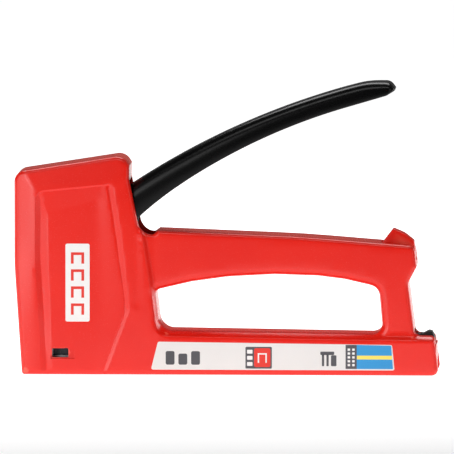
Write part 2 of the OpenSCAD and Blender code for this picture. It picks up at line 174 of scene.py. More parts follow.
def inside(points, loop):
    """Whether each point lies inside a closed outline."""
    a = loop[None, :, :]
    b = np.roll(loop, -1, axis=0)[None, :, :]
    x = points[:, None, 0]
    z = points[:, None, 1]
    crosses = (a[..., 1] > z) != (b[..., 1] > z)
    rise = np.where(b[..., 1] == a[..., 1], 1e-12, b[..., 1] - a[..., 1])
    at = a[..., 0] + (z - a[..., 1]) * (b[..., 0] - a[..., 0]) / rise
    return (crosses & (x < at)).sum(1) % 2 == 1


def signed_distance(points, loop):
    """Distance from each point to a closed outline, positive inside it."""
    d = distance_to(points, loop)
    return np.where(inside(points, loop), d, -d)


def smooth(t):
    """A soft step from 0 to 1."""
    t = np.clip(t, 0, 1)
    return t * t * (3 - 2 * t)


def rounding(d, radius):
    """How far a rounded edge falls below its flat, at a distance d from the edge."""
    u = 1 - np.clip(np.where(d < 0.01, 0, d) / radius, 0, 1)
    return radius * (1 - np.sqrt(np.maximum(0, 1 - u * u)))


CASING_LOOP = outline(CASING)
HOLE_LOOP = outline(HOLE)
RELIEF_LOOP = outline(RELIEF)
POCKET_LOOP = outline(POCKET)


def side_level(points):
    """Half width of the casing before its edges are rounded: wide at the head and the beam."""
    return HEAD_HALF - (HEAD_HALF - GRIP_HALF) * smooth(signed_distance(points, RELIEF_LOOP) / RELIEF_W)


def soft_ramp(d, width):
    """d where it is positive, with a rounded start."""
    return np.where(d > width, d - width / 2, np.maximum(d, 0) ** 2 / (2 * width))


def crown(points):
    """How far the head's side leans in: at its front edge, and a little at its top and rear."""
    x, z = points[:, 0], points[:, 1]
    lean = np.interp(z, [0, 25, 60, 90], [0.06, 0.09, 0.18, 0.21])
    on_head = x < HEAD_REAR_X
    front = lean * soft_ramp(FRONT_BAND_X - x, LEAN_START)
    top = 0.12 * soft_ramp(z - np.interp(x, *POCKET_TOP) - 0.4, LEAN_START) * on_head
    back = 0.06 * soft_ramp(x - np.interp(z, *PANEL_RIGHT) - 0.3, LEAN_START) * on_head * (z > 30)
    return np.maximum(np.maximum(front, top), back)


def panel_depth(points):
    """Depth of the sunken panel: a channel at the left, a sloping top, a flat floor, a bevel at the right."""
    x, z = points[:, 0], points[:, 1]
    fade = 0.4 + 0.6 * smooth(z / 45)
    x_right = np.interp(z, *FLOOR_RIGHT)
    floor = fade * (PLATEAU + (SHALLOW - PLATEAU) * smooth((x + 58) / (x_right + 58)))
    valley = VALLEY * fade * np.interp(z, [70, MITRE_HEAD], [1, 0.55])
    x_valley = np.interp(z, *VALLEY_LINE)
    x_left = np.interp(z, *FLOOR_LEFT)
    wall = np.clip((x - x_valley + CHANNEL_WIDTH) / CHANNEL_WIDTH, 0, 1) * valley
    ramp_up = valley + (floor - valley) * np.clip((x - x_valley) / (x_left - x_valley), 0, 1)
    depth = np.where(x < x_valley, wall, ramp_up)
    z_crease = np.interp(x, *CREASE)
    z_top = np.interp(x, *POCKET_TOP)
    slope = np.clip((z_top - z) / np.maximum(0.5, z_top - z_crease), 0, 1)
    top = TOP_DEPTH + (floor - TOP_DEPTH) * slope
    half = np.interp(z, *MITRE_HALF)
    past_mitre = np.clip((x - np.interp(z, *MITRE) + half) / (2 * half), 0, 1)
    depth = np.where(z > MITRE_FOOT, depth + past_mitre * np.minimum(0, top - depth), depth)
    near_right = x - (x_right - STEP_WIDTH)
    depth = np.where(near_right > 0, depth + STEP_DEPTH * np.clip(near_right / STEP_WIDTH, 0, 1), depth)
    edge = np.maximum(0, signed_distance(points, POCKET_LOOP))
    bevel = (floor + STEP_DEPTH) * np.clip(edge / BEVEL_WIDTH, 0, 1)
    depth = np.where(x > x_right, np.minimum(depth, bevel), depth)
    return np.minimum(depth, edge * RIM_SLOPE)


def casing_height(points):
    """Outer half width of the casing at points [x, z]."""
    y = side_level(points) - panel_depth(points) - crown(points)
    y -= rounding(distance_to(points, CASING_LOOP), EDGE_R)
    y -= rounding(distance_to(points, HOLE_LOOP), HOLE_R)
    return y


def inner_height(points):
    """Half width of the hollow inside the casing at points [x, z]."""
    return side_level(points) - WALL


# ---------------------------------------------------------------- mesh helpers
def grid(box, step):
    """Points [x, z] that fill a box given as x from, x to, z from, z to."""
    xs = np.arange(box[0], box[1], step)
    zs = np.arange(box[2], box[3], step)
    return np.array([[x, z] for x in xs for z in zs])


def lane(line, z_from, z_to, shift):
    """An open line inside the panel, moved along x by shift, as points [x, z]."""
    zs = np.linspace(z_from, z_to, 40)
    return np.array([[np.interp(z, *line) + shift, z] for z in zs])


def triangulate(loops, lines, extra, keep):
    """Triangles of a region: constrained to loops and lines, with extra points, kept by a test."""
    coords = []
    edges = []
    for loop in loops:
        start = len(coords)
        coords.extend(loop)
        edges.extend((start + i, start + (i + 1) % len(loop)) for i in range(len(loop)))
    for line in lines:
        start = len(coords)
        coords.extend(line)
        edges.extend((start + i, start + i + 1) for i in range(len(line) - 1))
    if len(extra):
        coords.extend(extra)
    result = delaunay_2d_cdt([Vector(c) for c in coords], edges, [], 0, 1e-5, False)
    verts = np.array([(v.x, v.y) for v in result[0]])
    faces = np.array(result[2])
    centres = verts[faces].mean(axis=1)
    return verts, faces[keep(centres)]


def add_layer(bm, verts, faces, heights, facing_out):
    """Adds a triangulated layer at its heights along -Y. facing_out turns its faces to -Y."""
    used = np.unique(faces)
    made = {i: bm.verts.new((verts[i, 0] * MM, -heights[i] * MM, verts[i, 1] * MM)) for i in used}
    for face in faces:
        a, b, c = (made[i] for i in face)
        bm.faces.new((a, b, c) if facing_out else (a, c, b))


def add_wall(bm, loop, heights, flip):
    """Adds a wall that follows a loop, from the parting plane to its heights along -Y."""
    count = len(loop)
    low = [bm.verts.new((p[0] * MM, 0, p[1] * MM)) for p in loop]
    high = [bm.verts.new((p[0] * MM, -h * MM, p[1] * MM)) for p, h in zip(loop, heights)]
    for i in range(count):
        j = (i + 1) % count
        quad = (low[i], low[j], high[j], high[i])
        bm.faces.new(quad[::-1] if flip else quad)


def to_object(name, bm, sharp=30.0):
    """Turns a bmesh into an object, smooth but for edges sharper than an angle in degrees."""
    bmesh.ops.remove_doubles(bm, verts=bm.verts, dist=2e-7)
    bmesh.ops.recalc_face_normals(bm, faces=bm.faces)
    mesh = bpy.data.meshes.new(name)
    bm.to_mesh(mesh)
    bm.free()
    obj = bpy.data.objects.new(name, mesh)
    bpy.context.scene.collection.objects.link(obj)
    shade(obj, sharp)
    return obj


def shade(obj, sharp):
    obj.data.shade_smooth()
    obj.data.set_sharp_from_angle(angle=math.radians(sharp))


def apply_modifiers(obj):
    deps = bpy.context.evaluated_depsgraph_get()
    mesh = bpy.data.meshes.new_from_object(obj.evaluated_get(deps))
    obj.modifiers.clear()
    obj.data = mesh


def box_object(low, high, bevel=0.0):
    """A scratch box in millimetres."""
    bm = bmesh.new()
    bmesh.ops.create_cube(bm, size=1)
    size = Vector(high) - Vector(low)
    centre = (Vector(high) + Vector(low)) / 2
    for v in bm.verts:
        v.co = Vector((v.co[k] * size[k] + centre[k] for k in range(3))) * MM
    if bevel:
        bmesh.ops.bevel(bm, geom=bm.edges[:], offset=bevel * MM, segments=3, affect="EDGES", profile=0.5)
    return to_object("cutter", bm)


def rod_object(at, radius, y_from, y_to):
    """A scratch rod along Y in millimetres."""
    bm = bmesh.new()
    bmesh.ops.create_cone(bm, cap_ends=True, segments=48, radius1=radius * MM, radius2=radius * MM,
                          depth=(y_to - y_from) * MM)
    spin = Matrix.Rotation(math.pi / 2, 4, "X")
    move = Matrix.Translation(Vector((at[0], (y_from + y_to) / 2, at[1])) * MM)
    bmesh.ops.transform(bm, matrix=move @ spin, verts=bm.verts)
    return to_object("cutter", bm)


def extruded(name, loop, y_from, y_to, bevel=0.0):
    """A closed outline made solid between two places along Y, with rounded edges."""
    bm = bmesh.new()
    near = [bm.verts.new((p[0] * MM, y_from * MM, p[1] * MM)) for p in loop]
    face = bm.faces.new(near)
    moved = bmesh.ops.extrude_face_region(bm, geom=[face])
    top = [v for v in moved["geom"] if isinstance(v, bmesh.types.BMVert)]
    bmesh.ops.translate(bm, verts=top, vec=(0, (y_to - y_from) * MM, 0))
    bmesh.ops.recalc_face_normals(bm, faces=bm.faces)
    if bevel:
        rims = [e for e in bm.edges if len({round(v.co.y, 7) for v in e.verts}) == 1]
        bmesh.ops.bevel(bm, geom=rims, offset=bevel * MM, segments=3, affect="EDGES", profile=0.5,
                        clamp_overlap=True)
    return to_object(name, bm)


def cut(obj, cutters, sharp):
    """Cuts scratch objects out of an object and deletes them."""
    for cutter in cutters:
        mod = obj.modifiers.new("cut", "BOOLEAN")
        mod.operation = "DIFFERENCE"
        mod.solver = "EXACT"
        mod.object = cutter
        apply_modifiers(obj)
    for cutter in cutters:
        bpy.data.objects.remove(cutter)
    shade(obj, sharp)


# ---------------------------------------------------------------- materials
BUMP_HEIGHT = 0.04 * MM
BRUSHED_X, BRUSHED_Z = (0.15, 1, 1), (1, 1, 0.12)


def new_material(name):
    mat = bpy.data.materials.new(name)
    mat.use_nodes = True
    nodes = mat.node_tree.nodes
    return mat, nodes, mat.node_tree.links, nodes["Principled BSDF"]


def noise(nodes, links, coords, scale, detail=3.0, stretch=None):
    tex = nodes.new("ShaderNodeTexNoise")
    tex.inputs["Scale"].default_value = scale
    tex.inputs["Detail"].default_value = detail
    source = coords.outputs["Object"]
    if stretch:
        mapping = nodes.new("ShaderNodeMapping")
        mapping.inputs["Scale"].default_value = stretch
        links.new(source, mapping.inputs["Vector"])
        source = mapping.outputs["Vector"]
    links.new(source, tex.inputs["Vector"])
    return tex.outputs["Fac"]


def ramp(nodes, links, fac, low, high, at=(0.35, 0.65)):
    """A blend from one colour to another as fac passes between two places."""
    node = nodes.new("ShaderNodeValToRGB")
    node.color_ramp.elements[0].position = at[0]
    node.color_ramp.elements[1].position = at[1]
    node.color_ramp.elements[0].color = (*low, 1)
    node.color_ramp.elements[1].color = (*high, 1)
    links.new(fac, node.inputs["Fac"])
    return node.outputs["Color"]


def surface(name, low, high, rough, grain, bump, blotch, metallic=0.0, stretch=None, edge=None, specular=0.5):
    """A procedural finish: two close colours in soft blotches, grain in the roughness and the bump,
    and a painted highlight: the edge colour on convex edges, where pointiness is high."""
    mat, nodes, links, bsdf = new_material(name)
    coords = nodes.new("ShaderNodeTexCoord")
    colour = ramp(nodes, links, noise(nodes, links, coords, blotch, 4.0, stretch), low, high)
    if edge:
        # Painted highlight: convex edges, where pointiness is high, take the edge colour.
        point = nodes.new("ShaderNodeNewGeometry")
        edge_highlight_mask = ramp(nodes, links, point.outputs["Pointiness"], (0, 0, 0), (1, 1, 1), (0.53, 0.60))
        mix = nodes.new("ShaderNodeMix")
        mix.data_type = "RGBA"
        links.new(edge_highlight_mask, mix.inputs["Factor"])
        links.new(colour, mix.inputs["A"])
        mix.inputs["B"].default_value = (*edge, 1)
        colour = mix.outputs["Result"]
    links.new(colour, bsdf.inputs["Base Color"])
    speckle = noise(nodes, links, coords, grain, 2.0, stretch)
    spread = nodes.new("ShaderNodeMapRange")
    spread.inputs["To Min"].default_value = rough[0]
    spread.inputs["To Max"].default_value = rough[1]
    links.new(speckle, spread.inputs["Value"])
    links.new(spread.outputs["Result"], bsdf.inputs["Roughness"])
    relief = nodes.new("ShaderNodeBump")
    relief.inputs["Strength"].default_value = bump
    relief.inputs["Distance"].default_value = BUMP_HEIGHT
    links.new(speckle, relief.inputs["Height"])
    links.new(relief.outputs["Normal"], bsdf.inputs["Normal"])
    bsdf.inputs["Metallic"].default_value = metallic
    bsdf.inputs["Specular IOR Level"].default_value = specular
    return mat


# The edge colour of RED is a painted highlight: a pinkish line on convex edges, where light would catch the
# rounding.
RED = surface("red_moulding", (0.79, 0.011, 0.004), (0.83, 0.015, 0.006), (0.22, 0.30), 2600.0, 0.06, 22.0,
              edge=(0.92, 0.10, 0.065))
# The edge colour of BLACK is a painted highlight: a faintly lighter tone on the lever's convex edges.
BLACK = surface("black_moulding", (0.0010, 0.0010, 0.0011), (0.0018, 0.0018, 0.0019), (0.20, 0.25), 1800.0,
                0.03, 40.0, edge=(0.006, 0.006, 0.0065), specular=0.25)
CAP_BLACK = surface("black_cap", (0.008, 0.008, 0.009), (0.017, 0.017, 0.018), (0.35, 0.5), 2200.0, 0.4, 60.0)
ZINC = surface("zinc_plate", (0.52, 0.53, 0.55), (0.66, 0.67, 0.69), (0.22, 0.38), 1400.0, 0.3, 160.0, 1.0,
               stretch=BRUSHED_X)
GROUND = surface("ground_steel", (0.28, 0.28, 0.29), (0.42, 0.42, 0.43), (0.25, 0.42), 1600.0, 0.4, 220.0,
                 1.0, stretch=BRUSHED_Z)
WIRE = surface("spring_wire", (0.36, 0.36, 0.38), (0.52, 0.52, 0.54), (0.2, 0.34), 2200.0, 0.2, 300.0, 1.0)
SCREW = surface("black_screw", (0.09, 0.09, 0.095), (0.16, 0.16, 0.165), (0.3, 0.45), 2400.0, 0.3, 300.0, 0.9)
BLUED = surface("blued_steel", (0.025, 0.025, 0.028), (0.05, 0.05, 0.055), (0.22, 0.36), 1600.0, 0.3, 220.0,
                0.85, stretch=BRUSHED_Z)
RUBBER = surface("bumper_rubber", (0.012, 0.012, 0.012), (0.022, 0.022, 0.021), (0.6, 0.8), 3000.0, 0.6, 90.0)
PAPER = surface("label_paper", (0.78, 0.775, 0.755), (0.81, 0.805, 0.785), (0.28, 0.36), 900.0, 0.05, 50.0)
WHITE = surface("label_white", (0.86, 0.855, 0.84), (0.90, 0.895, 0.88), (0.28, 0.36), 900.0, 0.05, 50.0)
INK = surface("label_ink", (0.070, 0.070, 0.080), (0.085, 0.085, 0.095), (0.3, 0.38), 900.0, 0.05, 50.0)
INK_RED = surface("label_red", (0.75, 0.030, 0.018), (0.80, 0.036, 0.022), (0.3, 0.38), 900.0, 0.05, 50.0)
INK_BLUE = surface("label_blue", (0.024, 0.30, 0.66), (0.03, 0.33, 0.70), (0.3, 0.38), 900.0, 0.05, 50.0)
INK_YELLOW = surface("label_yellow", (0.95, 0.76, 0.11), (0.98, 0.80, 0.14), (0.3, 0.38), 900.0, 0.05, 50.0)


def finish(obj, mat, body, node):
    """Gives a piece its material, the body it rides on, the CAD node it replaces, if any."""
    obj.data.materials.clear()
    obj.data.materials.append(mat)
    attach(obj, body)
    if node:
        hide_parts(node)


# ---------------------------------------------------------------- casing
def fine(loop, step=1.0):
    """A closed outline with no segment longer than step."""
    points = []
    for a, b in zip(loop, np.roll(loop, -1, axis=0)):
        count = max(1, math.ceil(np.linalg.norm(b - a) / step))
        points.extend(a + (b - a) * k / count for k in range(count))
    return np.array(points + points[:1])


def clipped(line, gap=0.12):
    """The runs of a line that lie inside the casing, clear of its outlines."""
    clear = (signed_distance(line, CASING_LOOP) > gap) & (signed_distance(line, HOLE_LOOP) < -gap)
    runs, run = [], []
    for point, good in zip(line, clear):
        if good:
            run.append(point)
        elif run:
            runs.append(run)
            run = []
    runs.append(run)
    return [np.array(r) for r in runs if len(r) > 1]


def casing_lines():
    """Lines along which the casing's side curves or bends."""
    angles = np.radians(np.linspace(0, 90, 9))
    loops = [outline(inset(CASING, EDGE_R * (1 - math.cos(a)))) for a in angles[1:]]
    loops += [outline(inset(HOLE, -HOLE_R * (1 - math.cos(a)))) for a in angles[1:]]
    loops += [outline(inset(RELIEF, d)) for d in (0, 0.35, 0.8, 1.3, 1.8, 2.25, RELIEF_W)]
    loops += [outline(inset(POCKET, d)) for d in (0, 0.12, 0.25, 0.5, 0.9, BEVEL_WIDTH)]
    lines = [fine(loop) for loop in loops] + panel_lines()
    return [run for line in lines for run in clipped(line)]


def panel_lines():
    """Pairs of lines on both sides of each fold of the sunken panel."""
    lines = []
    for shift in (-FOLD_GAP, FOLD_GAP):
        lines.append(lane(VALLEY_LINE, 1, 79, shift))
        lines.append(lane(FLOOR_LEFT, 1, MITRE_FOOT, shift))
        lines.append(lane(FLOOR_RIGHT, 1, 81, shift))
        lines.append(lane(FLOOR_RIGHT, 1, 81, shift - STEP_WIDTH))
        zs = np.linspace(70.4, 80, 20)
        half = np.interp(zs, *MITRE_HALF) * shift / FOLD_GAP
        lines.append(np.stack([np.interp(zs, *MITRE) + half, zs], axis=1))
    xs = np.linspace(-78.0, -51.6, 40)
    for shift in (-0.3, 0.0, 0.3):
        lines.append(np.array([[x, np.interp(x, *CREASE) + shift] for x in xs]))
    return lines


def in_casing(points):
    """Whether each point lies in the casing's outline and outside the finger opening."""
    return inside(points, CASING_LOOP) & ~inside(points, HOLE_LOOP)


def casing_half(name):
    """One closed half of the casing on the -Y side, before its openings are cut."""
    bm = bmesh.new()
    extra = np.vstack([grid((-90, -38, 2, 94), 1.5), grid((-37, 92, 2, 62), 3.0)])
    clear = signed_distance(extra, CASING_LOOP) > EDGE_R + 0.4
    clear &= signed_distance(extra, HOLE_LOOP) < -HOLE_R - 0.4
    clear &= np.abs(signed_distance(extra, RELIEF_LOOP) - RELIEF_W / 2) > RELIEF_W / 2 + 0.3
    verts, faces = triangulate([CASING_LOOP, HOLE_LOOP], casing_lines(), extra[clear], in_casing)
    add_layer(bm, verts, faces, casing_height(verts), True)
    add_wall(bm, CASING_LOOP, casing_height(CASING_LOOP), False)
    add_wall(bm, HOLE_LOOP, casing_height(HOLE_LOOP), True)
    inner = outline(inset(CASING, WALL))
    around = outline(inset(HOLE, -WALL))
    verts, faces = triangulate([CASING_LOOP, HOLE_LOOP, inner, around], [], [],
                               lambda p: in_casing(p) & (~inside(p, inner) | inside(p, around)))
    add_layer(bm, verts, faces, np.zeros(len(verts)), False)
    spare = grid((-88, 90, 4, 92), 2.0)
    spare = spare[(signed_distance(spare, inner) > 0.3) & (signed_distance(spare, around) < -0.3)]
    verts, faces = triangulate([inner, around], [], spare, lambda p: inside(p, inner) & ~inside(p, around))
    add_layer(bm, verts, faces, inner_height(verts), False)
    add_wall(bm, inner, inner_height(inner), True)
    add_wall(bm, around, inner_height(around), False)
    return to_object(name, bm, 25.0)


def mirrored(obj, name):
    """A copy of an object on the other side of the parting plane."""
    mesh = obj.data.copy()
    mesh.transform(Matrix.Scale(-1, 4, (0, 1, 0)))
    mesh.flip_normals()
    copy = bpy.data.objects.new(name, mesh)
    bpy.context.scene.collection.objects.link(copy)
    return copy


def casing_cutters():
    """Scratch solids that open the -Y half of the casing, in the order in which they are cut."""
    lever_slot = box_object((-60, -11.4, 57), (-31.3, 2, 85.6))
    stop_slot = box_object((67.8, -5.1, 49.9), (90, 2, 70))
    magazine_way = box_object((-88, -7.15, -1), (84, 2, 3))
    nose_way = box_object((-87.5, -9.2, -1), (-84.1, 2, 3))
    tail = box_object((82.6, -12.8, -1), (100, 2, 13.8))
    latch_notch = box_object((79, -5.8, 12), (100, 2, 20))
    window = box_object((-76.6, -20, 7.5), (-69.4, -8, 11.6), 0.5)
    shelf_loop = [(-77.2, 6.9), (-77.2, 8.4), (-70, 12.2), (-67, 12.0), (-66.6, 7.0)]
    shelf = extruded("cutter", shelf_loop, -15.4, -13.3)
    return [lever_slot, stop_slot, magazine_way, nose_way, tail, latch_notch, window, shelf]


def make_casing():
    left = casing_half("casing_left")
    right = mirrored(left, "casing_right")
    cut(left, casing_cutters(), 25.0)
    mirror_cutters = casing_cutters()
    for cutter in mirror_cutters:
        cutter.data.transform(Matrix.Scale(-1, 4, (0, 1, 0)))
        cutter.data.flip_normals()
    for x, z, face in SCREW_SEATS:
        mirror_cutters.append(rod_object((x, z), SCREW_SEAT_R, face - SCREW_SEAT_DEPTH, face + 2))
    cut(right, mirror_cutters, 25.0)
    finish(left, RED, "housing", "housing_left")
    finish(right, RED, "housing", "housing_right")
    stop = extruded("grip_stop", outline(STOP), -5, 5, 0.5)
    finish(stop, RED, "housing", "lever_stop")


# ---------------------------------------------------------------- lever
LEVER_HALF, LEVER_WALL, LEVER_BACK = 11.0, 1.8, 2.4
# Radii of the lever's section: of its back along Y and Z, and of its lower edges
BACK_R_Y, BACK_R_Z, LOW_R = 4.6, 7.6, 0.7
PIVOT = np.array([-46.5, 70.5])
PIN_HOLE_R, ROOT_R = 3.05, 8.1
# Centres and radii of the lever's side arcs, and the angles in degrees where they end or start
TOP_ARC = (np.array([143.5, -199.3]), 338.1)
LOW_ARC = (np.array([127.2, -136.6]), 265.0)
INNER_ARC = (np.array([64.9, -43.7]), 153.1)
TOP_END, LOW_START, LOW_END = 105.6, 106.1, 123.2
TIP = [[62, 128.8, 35], [71.8, 128.8, 4], [74.5, 125.4, 0.8], [70.3, 122.9, 2]]
TIP_CORNER_R = 4.0


def arc(centre, radius, start, end, steps):
    """Points along an arc between two angles in degrees."""
    angles = np.radians(np.linspace(start, end, steps + 1))
    return centre + radius * np.stack([np.cos(angles), np.sin(angles)], axis=1)


def bearing(vector):
    """The direction of a vector in degrees."""
    return math.degrees(math.atan2(vector[1], vector[0]))


def lever_loop():
    """The lever's side outline: round root, top arc, tip, two lower arcs."""
    reach = PIVOT - INNER_ARC[0]
    length = np.linalg.norm(reach)
    cosine = (length ** 2 + ROOT_R ** 2 - INNER_ARC[1] ** 2) / (2 * length * ROOT_R)
    root_end = bearing(-reach) + math.degrees(math.acos(cosine))
    root_start = bearing(PIVOT - TOP_ARC[0])
    meet = PIVOT + ROOT_R * np.array([math.cos(math.radians(root_end)), math.sin(math.radians(root_end))])
    inner_end = bearing(meet - INNER_ARC[0])
    low_last = arc(*LOW_ARC, LOW_END, LOW_END, 1)[0]
    corners = [[*p, 0] for p in arc(PIVOT, ROOT_R, root_end, root_start - 360, 60)]
    corners += [[*p, 0] for p in arc(*TOP_ARC, root_start, TOP_END, 60)]
    corners += TIP
    corners += [[*p, 0] for p in arc(*LOW_ARC, LOW_START, LOW_END, 40)]
    corners += [[*p, 0] for p in arc(*INNER_ARC, bearing(low_last - INNER_ARC[0]), inner_end, 20)[1:-1]]
    return outline(corners, 4.0)


LEVER_LOOP = lever_loop()


def span_at(loop, x):
    """Lowest and highest point of a closed outline at x."""
    a, b = loop, np.roll(loop, -1, axis=0)
    hit = (np.minimum(a[:, 0], b[:, 0]) <= x) & (np.maximum(a[:, 0], b[:, 0]) >= x) & (a[:, 0] != b[:, 0])
    z = a[hit, 1] + (b[hit, 1] - a[hit, 1]) * (x - a[hit, 0]) / (b[hit, 0] - a[hit, 0])
    return z.min(), z.max()


def eased(low, high, count):
    """Places from low to high, closer together at both ends."""
    return [low + (high - low) * (1 - math.cos(math.pi * k / count)) / 2 for k in range(count + 1)]


def lever_section(half, top, bottom, r_y, r_z, r_low):
    """Points [y, z] round one cross-section of the lever, from the middle of its back."""
    height = top - bottom
    r_y, r_z = min(r_y, half * 0.9), min(r_z, height * 0.6)
    low_y, low_z = min(r_low, half * 0.4), min(r_low, height * 0.3)
    points = [(0.0, top)]
    for k in range(13):
        a = math.radians(90 - 7.5 * k)
        points.append((half - r_y + r_y * math.cos(a), top - r_z + r_z * math.sin(a)))
    for k in range(5):
        a = math.radians(-22.5 * k)
        points.append((half - low_y + low_y * math.cos(a), bottom + low_z + low_z * math.sin(a)))
    points.append((0.0, bottom))
    return points + [(-y, z) for y, z in reversed(points[1:-1])]


def loft(name, stations, sections, sharp):
    """A closed skin through sections of points [y, z] at stations along X."""
    bm = bmesh.new()
    rings = [[bm.verts.new((x * MM, y * MM, z * MM)) for y, z in ring] for x, ring in zip(stations, sections)]
    for a, b in zip(rings, rings[1:]):
        for i in range(len(a)):
            j = (i + 1) % len(a)
            bm.faces.new((a[i], a[j], b[j], b[i]))
    bm.faces.new(rings[0])
    bm.faces.new(rings[-1][::-1])
    return to_object(name, bm, sharp)


def lever_half_width(x, end):
    """Plan of the lever: parallel sides and rounded corners at the tip."""
    past = max(0.0, x - (end - TIP_CORNER_R))
    return LEVER_HALF - TIP_CORNER_R + math.sqrt(max(0.0, TIP_CORNER_R ** 2 - past ** 2))


def make_lever():
    first, last = LEVER_LOOP[:, 0].min() + 0.01, LEVER_LOOP[:, 0].max() - 0.02
    stations = eased(first, last, 130)
    sections = []
    for x in stations:
        low, high = span_at(LEVER_LOOP, x)
        sections.append(lever_section(lever_half_width(x, last + 0.1), high, low, BACK_R_Y, BACK_R_Z, LOW_R))
    handle = loft("lever_grip", stations, sections, 40.0)
    hollow_x = list(np.linspace(-60, 72.2, 90))
    hollow = []
    for x in hollow_x:
        roof = span_at(LEVER_LOOP, max(x, -49.5))[1] - LEVER_BACK * 1.15
        hollow.append(lever_section(LEVER_HALF - LEVER_WALL, roof, 55, 2.4, 3.2, 0.1))
    cutters = [loft("cutter", hollow_x, hollow, 40.0), rod_object(PIVOT, PIN_HOLE_R, -20, 20)]
    cut(handle, cutters, 40.0)
    finish(handle, BLACK, "lever", "lever_handle")


# ---------------------------------------------------------------- springs
def coil(name, start, axis, coil_r, wire_r, length, turns, closed=1.5, sides=12):
    """A coil spring along an axis from start, in millimetres, with close end turns."""
    axis = Vector(axis)
    side = Vector((0, 1, 0)) if abs(axis.y) < 0.5 else Vector((0, 0, 1))
    other = axis.cross(side)
    per_turn = 24
    count = int(turns * per_turn)
    bm = bmesh.new()
    rings = []
    free = length - 2 * wire_r
    ends = 2 * wire_r * closed
    for k in range(count + 1):
        t = k / per_turn
        if t < closed:
            along = 2 * wire_r * t
        elif t > turns - closed:
            along = free - 2 * wire_r * (turns - t)
        else:
            along = ends + (free - 2 * ends) * (t - closed) / (turns - 2 * closed)
        a = 2 * math.pi * t
        out = side * math.cos(a) + other * math.sin(a)
        centre = Vector(start) + axis * (wire_r + along) + out * coil_r
        ring = []
        for s in range(sides):
            b = 2 * math.pi * s / sides
            ring.append(bm.verts.new((centre + (out * math.cos(b) + axis * math.sin(b)) * wire_r) * MM))
        rings.append(ring)
    for a, b in zip(rings, rings[1:]):
        for i in range(sides):
            j = (i + 1) % sides
            bm.faces.new((a[i], a[j], b[j], b[i]))
    bm.faces.new(rings[0][::-1])
    bm.faces.new(rings[-1])
    return to_object(name, bm, 60.0)


def make_springs():
    low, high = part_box("power_spring")
    main = coil("main_spring", (-77.9, 0, low[2] / MM), (0, 0, 1), coil_r=4.05, wire_r=0.85,
                length=(high[2] - low[2]) / MM, turns=11)
    finish(main, WIRE, "housing", "power_spring")
    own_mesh(main)
    low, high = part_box("pusher_spring")
    push = coil("feed_spring", (low[0] / MM, 0, 6.5), (1, 0, 0), coil_r=2.7, wire_r=0.4,
                length=(high[0] - low[0]) / MM, turns=44, sides=8)
    finish(push, WIRE, "magazine", "pusher_spring")
    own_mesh(push)
    low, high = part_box("lever_return_spring")
    back = coil("return_spring", (PIVOT[0], low[1] / MM, PIVOT[1]), (0, 1, 0), coil_r=4.6, wire_r=0.6,
                length=(high[1] - low[1]) / MM, turns=5, closed=0.5)
    finish(back, WIRE, "housing", "lever_return_spring")


# ---------------------------------------------------------------- labels
# Printed layers lie on each other in steps of INK_STEP, each INK_DEPTH thick.
INK_STEP, INK_DEPTH = 0.02, 0.03
STRIP = [[-33, 2.4, 0.8], [-29.9, 14.7, 0.8], [73, 13.6, 0.8], [74.1, 2.4, 0.8]]
BLUE_FIELD = [[57.5, 3.0, 0.1], [57.5, 13.6, 0.1], [72.6, 13.3, 0.3], [73.5, 3.0, 0.3]]
BADGE_TOP, BADGE_LEAN = 57.7, 0.0078


def rounded_box(x0, z0, x1, z1, r):
    return outline([[x0, z0, r], [x0, z1, r], [x1, z1, r], [x1, z0, r]], 15.0)


def decal(name, loops, depth, thickness, mat, side, node=None, lean=0.0):
    """Flat printed shapes on one side of the casing, as one piece. lean sinks them by that much for each
    millimetre of height."""
    bm = bmesh.new()
    for loop in loops:
        levels = [(depth - lean * p[1]) * side for p in loop]
        near = [bm.verts.new((p[0] * MM, -y * MM, p[1] * MM)) for p, y in zip(loop, levels)]
        far = [bm.verts.new((p[0] * MM, -(y + thickness * side) * MM, p[1] * MM))
               for p, y in zip(loop, levels)]
        bm.faces.new(near)
        bm.faces.new(far[::-1])
        for i in range(len(loop)):
            j = (i + 1) % len(loop)
            bm.faces.new((near[i], near[j], far[j], far[i]))
    finish(to_object(name, bm, 20.0), mat, "housing", node)


def staple_icon(x, z, w, h, t):
    """Outline of a staple: a crown and two legs, open underneath."""
    return np.array([[x, z], [x, z + h], [x + w, z + h], [x + w, z], [x + w - t, z], [x + w - t, z + h - t],
                     [x + t, z + h - t], [x + t, z]])


